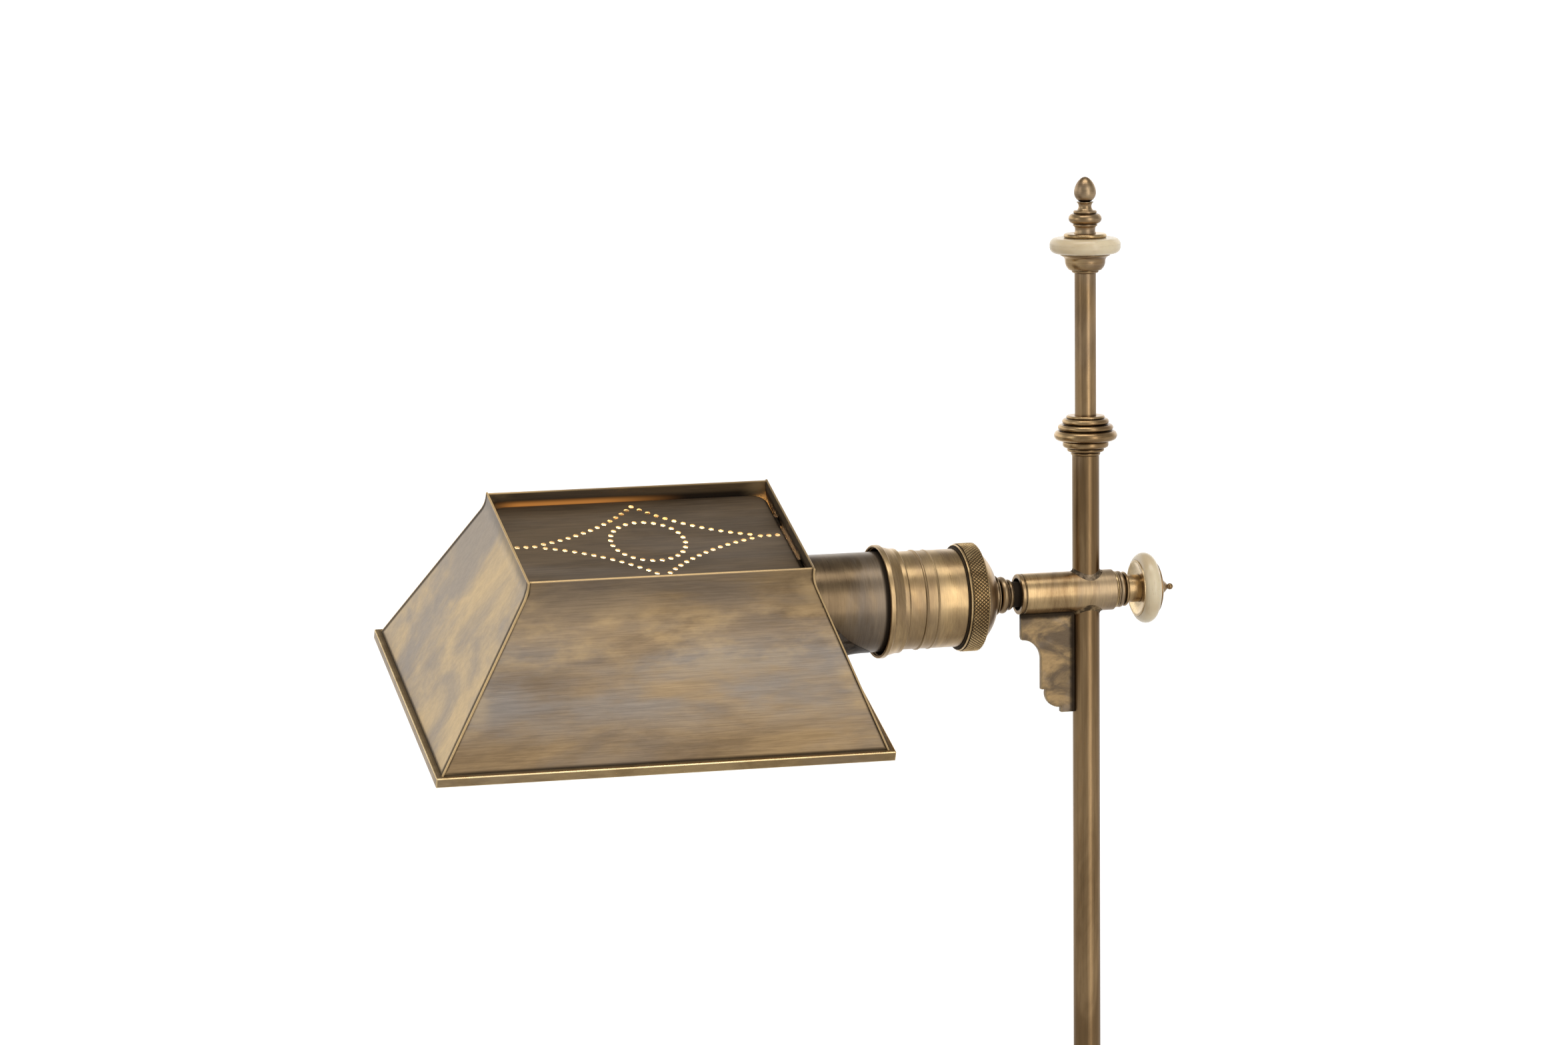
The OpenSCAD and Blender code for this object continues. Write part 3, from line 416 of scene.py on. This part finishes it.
# Bone rings of the knob and of the finial: cut from long bone, cream with faint brown flecks
# along the grain, polished and a little waxy.
def bone(name, grain_scale):
    material, place = surface(name)
    laid = place.node("ShaderNodeMapping", {}, {"Vector": place, "Scale": grain_scale})
    fleck = noise(laid, 1.0, 4.0, 0.65)
    cloud = noise(place, 70.0, 3.0, 0.5)
    tone = mix(smooth(cloud, 0.35, 0.65), rgb(0.67, 0.53, 0.33), rgb(0.77, 0.65, 0.44))
    tone = mix(0.35 * smooth(fleck, 0.54, 0.74), tone, rgb(0.46, 0.32, 0.17))
    return finish(material, place, {
        "Base Color": tone, "Roughness": 0.32 + 0.12 * cloud, "Coat Weight": 0.3,
        "Subsurface Weight": 0.15, "Subsurface Radius": (0.004, 0.003, 0.002)})


dress(bone("bone_across", (1500.0, 240.0, 240.0)), "knob_ring")
dress(bone("bone_upright", (240.0, 240.0, 1500.0)), "finial_ring")

# Neck and cap of the lampholder: turned brass, the neck in one with its beads. Painted shade blackens
# the spigot that runs into the sleeve, and dirt and painted shade fill the grooves between the beads.
NECK_RIGHT = -0.0374


# Painted shade: the neck is blackened from its right end on, where its spigot runs into the sleeve.
def spigot_shade(place):
    return smooth(place.along(ACROSS), NECK_RIGHT - 0.0002, NECK_RIGHT + 0.0004)


neck = brass("turned_neck", rgb(0.36, 0.245, 0.125), rgb(0.19, 0.12, 0.06), TURNED_ACROSS, 55.0, 0.29,
             grime_and_shade=0.95, soot_and_shade=spigot_shade)
dress(neck, "holder_neck")
dress(turned_x, "holder_cap")

# Knurled union ring: brass rolled between two wheels, so the diamonds stand up as sharp points,
# which handling keeps bright, while dirt stays in the hollows.
KNURL_LEFT = -0.0628
FLANGE_ROOT = 0.02418
POINT_RISE = 0.0005


def hollows(place):
    """Dirt between the points, and in the grooves on both sides of the plain flange."""
    rise = POINT_RISE * smooth(place.along(ACROSS), KNURL_LEFT - 0.0002, KNURL_LEFT)
    return 0.95 * (1.0 - smooth(from_axis(place) - rise, FLANGE_ROOT, FLANGE_ROOT + 0.00024))


knurl = brass("knurl_brass", rgb(0.72, 0.52, 0.27), rgb(0.50, 0.34, 0.165),
              (ACROSS, 300.0, 300.0), 70.0, 0.26, bloom=0.0, grime_and_shade=0.8, worn=0.2, ease=0.00012, soot_and_shade=hollows)
dress(knurl, "knurled_ring")

# Shell of the lampholder: one brass spinning with a flared cup, a step and three turned beads,
# rubbed brighter than the pieces beside it.
shell = brass("spun_shell", rgb(0.57, 0.395, 0.195), rgb(0.30, 0.195, 0.094), TURNED_ACROSS, 45.0, 0.27,
              soft=0.16, bloom=0.15, grime_and_shade=0.8)
dress(shell, "holder_shell")

# Lampholder's inside and the bulb: glazed porcelain holds a brass screw shell and a sprung contact.
# The bulb has an aluminium cap and opal glass, which is lit and shines towards its far end.
BULB_DIM = -0.15
BULB_LIT = -0.205
porcelain = plain("glazed_porcelain", rgb(0.8, 0.79, 0.75), rgb(0.86, 0.85, 0.82), 0.18, 400.0, 1e-5)
cap_metal = plain("bulb_cap_metal", rgb(0.6, 0.6, 0.6), rgb(0.74, 0.74, 0.73), 0.3, 900.0, 2e-5, 1.0)
material, place = surface("opal_glass")
warm_light = mix(smooth(noise(place, 40.0), 0.3, 0.7), rgb(1.0, 0.62, 0.28), rgb(1.0, 0.70, 0.38))
far_end = 1.0 - smooth(place.along(ACROSS), BULB_LIT, BULB_DIM)
opal = finish(material, place, {
    "Base Color": rgb(0.9, 0.86, 0.78), "Roughness": 0.3 + 0.1 * noise(place, 200.0),
    "Emission Color": mix(far_end, rgb(0.03, 0.02, 0.01), warm_light), "Emission Strength": 40.0})
dress(porcelain, "holder_insulator")
dress(bright, "screw_shell", "centre_contact")
dress(cap_metal, "bulb_cap")
dress(opal, "bulb_glass")

# Shade walls: sheet brass, cut and bent over a former, soldered at the hips, where the end walls
# stand a little proud. The patina is rubbed back in patches with blue-grey bloom between, dirt and
# painted shade lie along the seams, heat browning and painted shade darken the inner side above the
# enamel, and the inside is white enamel except on the end beside the lampholder.
TILT = math.radians(22.5)
SHADE_MIDDLE = Vector((-0.215, 0.0, ARM_Z))
SHADE_UP = Vector((0.0, -math.sin(TILT), math.cos(TILT)))
SHADE_BACK = Vector((0.0, math.cos(TILT), math.sin(TILT)))
LIP_TOP = 0.0442
FOLD = 0.0384
PANEL_TOP = 0.0380
ENAMEL_TOP = 0.024
FOOT = -0.0406
HALF_LENGTH = 0.0669
HALF_WIDTH = 0.0406
HIP_LAP = 0.0009
END_SLOPE = 0.481
SIDE_SLOPE = 0.284
DOWN_END = (-END_SLOPE * ACROSS - SHADE_UP).normalized()


def in_shade(place, axis):
    """How far a place is from the shade's middle along one of the shade's own axes."""
    return place.along(axis) - SHADE_MIDDLE.dot(axis)


def height_in_shade(place):
    return in_shade(place, SHADE_UP)


def within(place, axis, half, slope):
    """Distance inwards from the shade's outer face, whose half size grows down the slope from the fold."""
    drop = FOLD - height_in_shade(place)
    return half + slope * larger(drop, 0.0) - abs(in_shade(place, axis))


def from_long_face(place):
    return within(place, SHADE_BACK, HALF_WIDTH, SIDE_SLOPE)


def from_end_face(place):
    return within(place, ACROSS, HALF_LENGTH, END_SLOPE)


def from_end_edge(place):
    """Distance from the edge of an end wall, which laps past the long wall at the hip."""
    return within(place, SHADE_BACK, HALF_WIDTH + HIP_LAP, SIDE_SLOPE)


def inner_side(depth):
    """One on the inner face of a sheet, from the depth below its outer face."""
    return smooth(depth, 0.0003, 0.0006)


def heat_brown_and_shade(place, depth, low):
    """The inner side round the panel and above a height, browned by the bulb's heat and darkened as painted
    shade.
    """
    height = height_in_shade(place)
    above = smooth(height, low, low + 0.003) - 0.25 * smooth(height, PANEL_TOP + 0.0005, PANEL_TOP + 0.003)
    return above * inner_side(depth)


def foot_dirt(place):
    return 0.8 * (1.0 - smooth(height_in_shade(place), FOOT, FOOT + 0.0016))


def long_dirt_and_shade(place):
    """Dirt along the foot and, with painted shade, along the hips, darker patina that was left under the
    top edge, and heat browning and painted shade on the inner side.
    """
    height = height_in_shade(place)
    cloud = noise(stretched(place, ACROSS, 10.0, 60.0), 1.0, 4.0, 0.6)
    top = 0.25 * smooth(height + 0.03 * cloud, 0.030, 0.054)
    top = top * (1.0 - smooth(height, LIP_TOP - 0.0010, LIP_TOP - 0.0004))
    hip = 0.8 * (1.0 - smooth(from_end_face(place), 0.001, 0.0024))
    inner = heat_brown_and_shade(place, from_long_face(place), ENAMEL_TOP)
    return larger(larger(top, inner), larger(foot_dirt(place), hip))


def end_dirt_and_shade(place, low=ENAMEL_TOP):
    """Dirt along the foot and beside the hips, painted shade beside the hips too, and heat browning and
    painted shade inside above a height.
    """
    edge = from_end_edge(place)
    hip = 0.7 * (1.0 - smooth(edge, 0.0016, 0.0032)) * smooth(edge, 0.0002, 0.0008)
    inner = heat_brown_and_shade(place, from_end_face(place), low)
    return larger(inner, larger(foot_dirt(place), hip))


def hot_end_dirt_and_shade(place):
    """The wall beside the lampholder is brown over its whole inner side, as heat browning and painted shade.
    """
    return end_dirt_and_shade(place, FOOT - 0.0194)


def lip_wear_and_highlight(place):
    """The top edge made bright, as wear from hands and as a painted highlight, more so at the front
    and at the outer end.
    """
    reached = 1.0 - 0.6 * smooth(in_shade(place, ACROSS + SHADE_BACK), -0.02, 0.02)
    return 0.85 * reached * smooth(height_in_shade(place), LIP_TOP - 0.0007, LIP_TOP - 0.0001)


def long_rub_and_highlight(place):
    """The bright lip, worn and painted as a highlight, and golden patches where the rag went more: the upper
    third and beside the hips.
    """
    height = height_in_shade(place)
    cloud = noise(stretched(place, ACROSS, 24.0, 60.0), 1.0, 5.0, 0.62)
    upper = smooth(height, -0.006, 0.010) * (1.0 - smooth(height, 0.022, 0.034))
    hip = 1.0 - smooth(from_end_face(place), 0.004, 0.014)
    patch = smooth(cloud, 0.42, 0.62) * larger(upper, 0.8 * hip)
    return larger(lip_wear_and_highlight(place), 0.32 * patch)


def end_rub_and_highlight(place):
    """The bright lip, worn and painted as a highlight, and the proud edges at the hips."""
    return larger(lip_wear_and_highlight(place), 0.7 * (1.0 - smooth(from_end_edge(place), 0.0002, 0.0009)))


def middle_haze(place):
    """Blue-grey bloom over the middle of the wall, where the rag went less."""
    height = height_in_shade(place)
    band = smooth(height, -0.034, -0.012) * (1.0 - smooth(height, 0.004, 0.026))
    cloud = noise(stretched(place, ACROSS, 14.0, 40.0), 1.0, 4.0, 0.6)
    return band * (0.2 + 0.6 * smooth(cloud, 0.38, 0.62))


def enamelled(place, depth):
    """White stove enamel on the inner side, up to a little below the panel."""
    below = 1.0 - smooth(height_in_shade(place), ENAMEL_TOP - 0.002, ENAMEL_TOP)
    return below * inner_side(depth)


def long_lining(place):
    return enamelled(place, from_long_face(place))


def end_lining(place):
    return smooth(from_end_edge(place), 0.0014, 0.002) * enamelled(place, from_end_face(place))


def painted_leak_glow(place):
    """A painted glow on the back wall's inner side, standing for light from the bulb that comes up
    past the panel's back edge.
    """
    height = height_in_shade(place)
    band = smooth(height, PANEL_TOP - 0.003, PANEL_TOP - 0.0012)
    band = band * (1.0 - smooth(height, PANEL_TOP - 0.0008, PANEL_TOP + 0.0022))
    along = in_shade(place, ACROSS)
    left = smooth(along, -0.066, -0.05) * (1.0 - smooth(along, -0.02, 0.03))
    return 0.5 * band * left * inner_side(from_long_face(place))


def long_sheet(name, glow=None):
    return brass(name, rgb(0.45, 0.305, 0.155), rgb(0.215, 0.145, 0.082), (ACROSS, 45.0, 1800.0), 34.0, 0.36,
                 soft=0.2, bloom=0.35, lines=0.3, grime_and_shade=0.5, worn=0.7, ease=0.0006, dents=3e-4,
                 soot_and_shade=long_dirt_and_shade, rub_and_highlight=long_rub_and_highlight, haze=middle_haze, lining=long_lining, glow=glow)


def end_sheet(name, soot_and_shade, lining=None):
    return brass(name, rgb(0.45, 0.33, 0.18), rgb(0.25, 0.205, 0.16), (DOWN_END, 250.0, 500.0), 26.0, 0.36,
                 soft=0.17, bloom=0.8, lines=0.2, grime_and_shade=0.5, worn=0.7, ease=0.0006, dents=3e-4,
                 soot_and_shade=soot_and_shade, rub_and_highlight=end_rub_and_highlight, lining=lining)


WALL_EDGE = 0.0003
LONG_FOLD = 0.004
END_FOLD = 0.0035
for wall, material, fold in (
        ("shade_front", long_sheet("sheet_brass"), LONG_FOLD),
        ("shade_back", long_sheet("lit_sheet_brass", painted_leak_glow), LONG_FOLD),
        ("shade_outer_end", end_sheet("end_sheet", end_dirt_and_shade, end_lining), END_FOLD),
        ("shade_inner_end", end_sheet("hot_end_sheet", hot_end_dirt_and_shade), END_FOLD)):
    eased(wall, "arm", "antique_brass", WALL_EDGE, material, fold=fold)

# Rim: a square brass bar, mitred at the corners and soldered round the foot. Its outer edges are
# rubbed round, and made bright as wear and as a painted highlight, and the ledge behind them holds
# dirt and painted shade.
RIM_HALF_LENGTH = 0.1077
RIM_HALF_WIDTH = 0.06585
RIM_EDGE = 0.0012


def ledge_dirt_and_shade(place):
    """Dirt and painted shade on the bar's upper side, behind its outer edge."""
    beyond = abs(in_shade(place, ACROSS)) - RIM_HALF_LENGTH
    beside = abs(in_shade(place, SHADE_BACK)) - RIM_HALF_WIDTH
    return 0.65 * (1.0 - smooth(larger(beyond, beside), -0.0019, -0.0010))


def on_outside(edge):
    for vert in edge.verts:
        offset = vert.co - SHADE_MIDDLE
        beyond = abs(offset.x) - RIM_HALF_LENGTH
        beside = abs(offset.dot(SHADE_BACK)) - RIM_HALF_WIDTH
        if max(beyond, beside) <= -1e-4:
            return False
    return True


BRUSHED_BAR = (ACROSS, 200.0, 900.0)
bar = brass("rim_bar", rgb(0.42, 0.295, 0.15), rgb(0.29, 0.195, 0.095), BRUSHED_BAR, 40.0, 0.28,
            bloom=0.2, lines=0.15, worn=0.5, soot_and_shade=ledge_dirt_and_shade)
# The bevel faces of the outer edges take this material: wear, and a painted highlight.
rubbed_and_highlit_edge = brass("rubbed_and_highlit_edge", rgb(0.86, 0.66, 0.37), rgb(0.68, 0.49, 0.25), BRUSHED_BAR, 40.0, 0.24,
                    bloom=0.0, lines=0.15, grime_and_shade=0.3)
eased("shade_rim", "arm", "bright_brass", RIM_EDGE, bar, rubbed_and_highlit_edge, chosen=on_outside, edge_material=1)

# Tube of the shade: drawn brass, darkened by heat, which slips into the lampholder's cup and is
# soldered round its hole in the end wall. A band of painted shade darkens it at the cup, and the dark
# fillet round the joint spreads along the tube at the bottom.
CUP_LEFT = -0.1034
TUBE_R = 0.02325
SOLDER_LEG = 0.0008
RUN_LENGTH = 0.0125
RUN_THICKNESS = 0.0012
RUN_ANGLE = -1.85
RUN_SPREAD_FRONT = 0.6
RUN_SPREAD_BACK = 0.3


# Painted shade: the tube is darkened where it runs into the lampholder's cup and just before it.
def shade_under_cup(place):
    return 0.9 * smooth(place.along(ACROSS), CUP_LEFT - 0.0022, CUP_LEFT - 0.0006)


def on_solder(share, angle):
    """From the tube's wall out to the sloping end wall."""
    spread = RUN_SPREAD_FRONT if angle < RUN_ANGLE else RUN_SPREAD_BACK
    run = math.exp(-((angle - RUN_ANGLE) / spread) ** 2)
    reach = TUBE_R + 0.0001 + (SOLDER_LEG + RUN_THICKNESS * run) * share ** 2
    spot = Vector((0.0, reach * math.cos(angle), reach * math.sin(angle)))
    wall_x = SHADE_MIDDLE.x + HALF_LENGTH + END_SLOPE * (FOLD - spot.dot(SHADE_UP))
    lead = (SOLDER_LEG + RUN_LENGTH * run) * (1.0 - share) ** 2
    return (wall_x + lead - SINK * share, spot.y, ARM_Z + spot.z)


tube = brass("tube_brass", rgb(0.18, 0.125, 0.07), rgb(0.11, 0.075, 0.043), (ACROSS, 1400.0, 60.0), 45.0, 0.3,
             soot_and_shade=shade_under_cup)
solder = brass("dark_solder", rgb(0.075, 0.052, 0.034), rgb(0.03, 0.021, 0.014),
               (ACROSS, 600.0, 600.0), 200.0, 0.45)
dress(tube, "shade_tube")
piece("tube_solder", fillet(96, 6, on_solder), "arm", "dark_brass", solder)

# Punched panel: thinner sheet, dark from heat, with its edge turned down, let into the top on four
# tabs. The walls and the burrs of the punched holes carry a painted glow for the bulb's light on them.
FIELD_HALF_LENGTH = 0.0628
FIELD_HALF_WIDTH = 0.035
BURR = 0.0002


def near_flange(point):
    offset = point - SHADE_MIDDLE
    return abs(offset.x) > FIELD_HALF_LENGTH or abs(offset.dot(SHADE_BACK)) > FIELD_HALF_WIDTH


def round_a_hole(edge):
    return not any(near_flange(v.co) for v in edge.verts)


# A painted glow: emission that stands for the bulb's light falling on the holes.
def lit_brass(name, low, high, strength, metal):
    material, place = surface(name)
    light = mix(smooth(noise(place, 300.0), 0.3, 0.7), low, high)
    return finish(material, place, {
        "Base Color": rgb(0.4, 0.28, 0.14), "Metallic": metal, "Roughness": 0.4 + 0.1 * noise(place, 900.0),
        "Emission Color": light, "Emission Strength": strength})


panel_brass = brass("panel_brass", rgb(0.25, 0.178, 0.108), rgb(0.185, 0.135, 0.087),
                    (ACROSS, 30.0, 1200.0), 30.0, 0.42, bloom=0.25, worn=0.2)
hole_wall = lit_brass("lit_hole", rgb(0.55, 0.30, 0.09), rgb(0.75, 0.46, 0.17), 0.6, 0.0)
hole_burr = lit_brass("lit_burr", rgb(0.55, 0.27, 0.07), rgb(0.75, 0.42, 0.13), 1.4, 1.0)
punched = eased("punched_panel", "arm", "dark_brass", BURR, panel_brass, hole_wall, hole_burr,
                chosen=round_a_hole, edge_material=2)
for face in punched.data.polygons:
    if abs(face.normal.dot(SHADE_UP)) < 0.3 and not near_flange(face.center):
        face.material_index = 1
dress(panel_brass, "panel_clips")

# Studio floor and room: a white sweep behind the lamp, and a dim room in front of it with one
# tall softbox to the right, so that the brass has something to mirror.
KEY_ANGLE = math.radians(15.0)
VIEW_ANGLE = math.radians(16.4)
KEY_SIDE = Vector((math.sin(KEY_ANGLE), -math.cos(KEY_ANGLE), 0.0))
VIEW_SIDE = Vector((math.sin(VIEW_ANGLE), math.cos(VIEW_ANGLE), 0.0))
bpy.ops.mesh.primitive_plane_add(size=160.0)
floor = bpy.context.object
floor.name = "studio_floor"
material, place = surface("pale_floor")
bearing = place.vector("NORMALIZE", {0: place})
distance = place.vector("LENGTH", {0: place}, "Value")
# The floor glows: its emission is brighter behind the lamp, towards the softbox and to the right, standing
# for the sweep and the softbox.
shine = 0.42 + smooth(bearing.along(VIEW_SIDE), 0.80, 0.93) * smooth(distance, 0.3, 2.5)
shine = shine + 0.4 * smooth(bearing.along(KEY_SIDE), 0.86, 0.99) * smooth(distance, 1.0, 3.0)
shine = shine + 0.25 * smooth(bearing.along(ACROSS), 0.6, 0.95) * smooth(distance, 1.0, 3.0)
floor.data.materials.append(finish(material, place, {
    "Base Color": mix(smooth(noise(place, 0.8), 0.3, 0.7), rgb(0.24, 0.24, 0.24), rgb(0.27, 0.27, 0.27)),
    "Roughness": 0.9, "Emission Color": mix(shine, BLACK, rgb(1.0, 1.0, 1.0)), "Emission Strength": 1.0}))
world = bpy.data.worlds.new("studio")
world.use_nodes = True
world.node_tree.nodes.clear()
sky = Wire(world.node_tree).node("ShaderNodeTexCoord", {}, {}, "Generated")
sweep = smooth(sky.along((0.0, 1.0, 0.0)), 0.0, 0.7) * (1.0 - smooth(sky.along(UPRIGHT), 0.3, 0.68))
softbox = smooth(sky.along(0.9 * KEY_SIDE + 0.44 * UPRIGHT), 0.86, 0.97)
back_light = sky.node("ShaderNodeBackground", {}, {
    "Color": rgb(1.0, 0.99, 0.97), "Strength": 0.4 + 1.1 * sweep + 0.6 * softbox})
sky.node("ShaderNodeOutputWorld", {}, {"Surface": back_light})
bpy.context.scene.world = world

# Lights: a tall key softbox at the right of the camera, a broad fill at the left and a wide bank
# overhead, all aimed at a point between the shade and the mast.
AIM = Vector((-0.1, 0.0, ARM_Z))


def soft_light(name, place, size, power, tint):
    lamp = bpy.data.lights.new(name, "AREA")
    lamp.shape = "RECTANGLE"
    lamp.size, lamp.size_y = size
    lamp.energy = power
    lamp.color = tint
    light = bpy.data.objects.new(name, lamp)
    bpy.context.collection.objects.link(light)
    light.location = place
    light.rotation_euler = (AIM - light.location).to_track_quat("-Z", "Y").to_euler()


soft_light("key", (0.8, -2.9, 1.7), (0.7, 2.6), 14.0, (1.0, 0.98, 0.95))
soft_light("fill", (-2.8, -0.6, 2.0), (1.2, 1.8), 8.0, (1.0, 1.0, 1.0))
soft_light("top", (-0.2, -0.5, 3.4), (1.8, 0.8), 18.0, (1.0, 1.0, 1.0))

# Camera: a long lens at the photograph's angle, a little above the shade, placed from the point
# where the mast and the sleeve cross.
PHOTO_WIDTH = 2352.0
FOCAL_PIXELS = 9332.0
SENSOR = 36.0
AZIMUTH = math.radians(-16.417)
ELEVATION = math.radians(7.734)
ROLL = math.radians(-0.517)
CAMERA_RIGHT = -0.1406
CAMERA_UP = 0.0331
CAMERA_BACK = 2.903
camera = bpy.data.objects.new("camera", bpy.data.cameras.new("camera"))
bpy.context.collection.objects.link(camera)
camera.data.sensor_width = SENSOR
camera.data.lens = SENSOR * FOCAL_PIXELS / PHOTO_WIDTH
camera.data.clip_end = 200.0
back = Vector((math.sin(AZIMUTH) * math.cos(ELEVATION), -math.cos(AZIMUTH) * math.cos(ELEVATION),
               math.sin(ELEVATION)))
right = Vector((math.cos(AZIMUTH), math.sin(AZIMUTH), 0.0))
up = back.cross(right)
turn = Matrix((right, up, back)).transposed() @ Matrix.Rotation(ROLL, 3, "Z")
place = ARM_Z * UPRIGHT + CAMERA_RIGHT * right + CAMERA_UP * up + CAMERA_BACK * back
camera.matrix_world = Matrix.Translation(place) @ turn.to_4x4()
bpy.context.scene.camera = camera
bpy.context.scene.view_settings.view_transform = "Standard"
